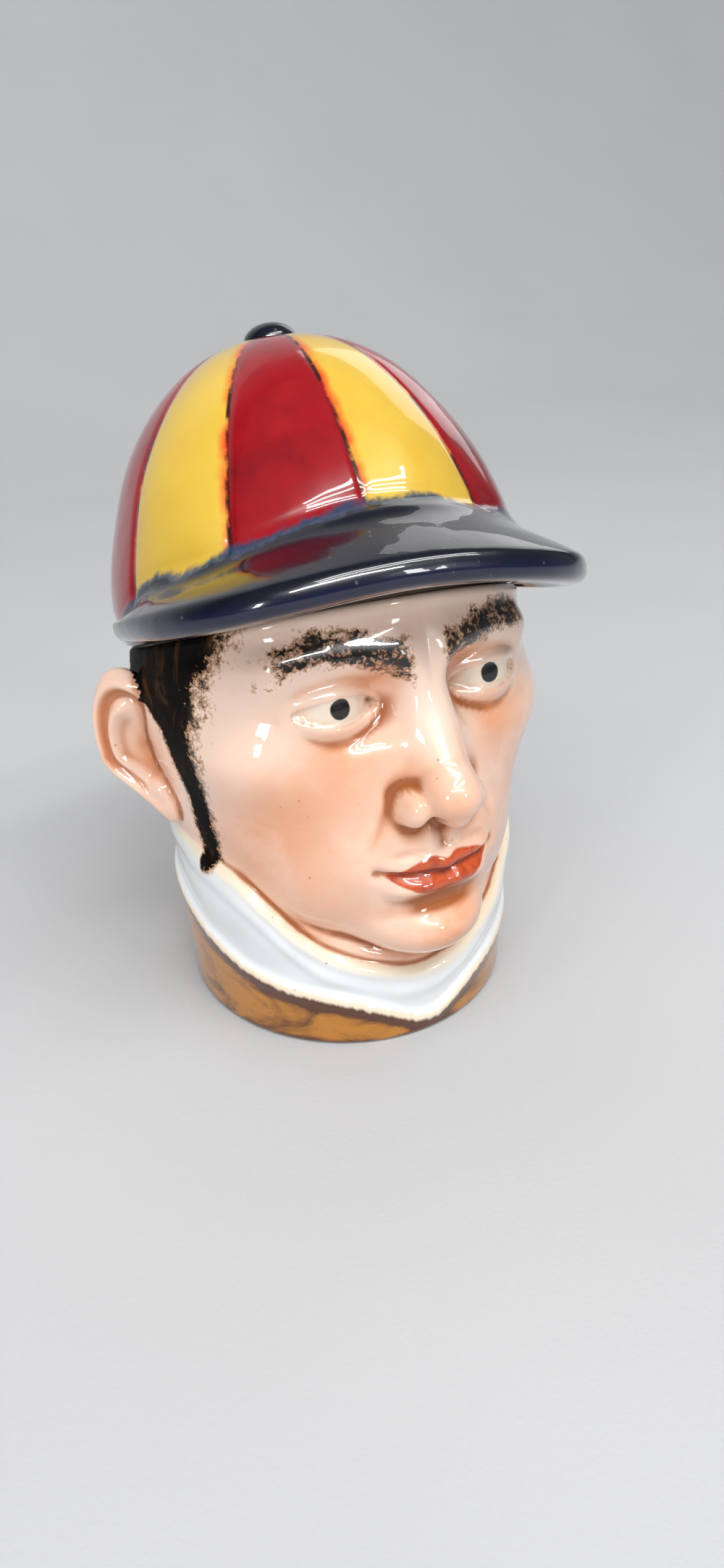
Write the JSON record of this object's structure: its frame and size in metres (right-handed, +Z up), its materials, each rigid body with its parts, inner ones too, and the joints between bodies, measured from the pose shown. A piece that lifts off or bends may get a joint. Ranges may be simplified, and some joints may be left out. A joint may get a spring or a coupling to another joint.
{
  "type": "tobacco jar",
  "caption": "Hollow glazed jar shaped as a jockey's head and neck, with a loose hollow racing cap as its lift-off lid.",
  "frame": {"origin": "middle of the flat underside, on the surface the jar stands on", "axes": "+Z up, the face looks along -Y, +X to the sitter's left"},
  "size_m": [0.104, 0.1085, 0.1423],
  "materials": {
    "head_glaze": "clear-glazed painted earthenware",
    "cap_glaze": "coloured majolica glaze on earthenware"
  },
  "bodies": {
    "root": {"jar": "head_glaze", "lid": "cap_glaze"}
  },
  "joints": []
}
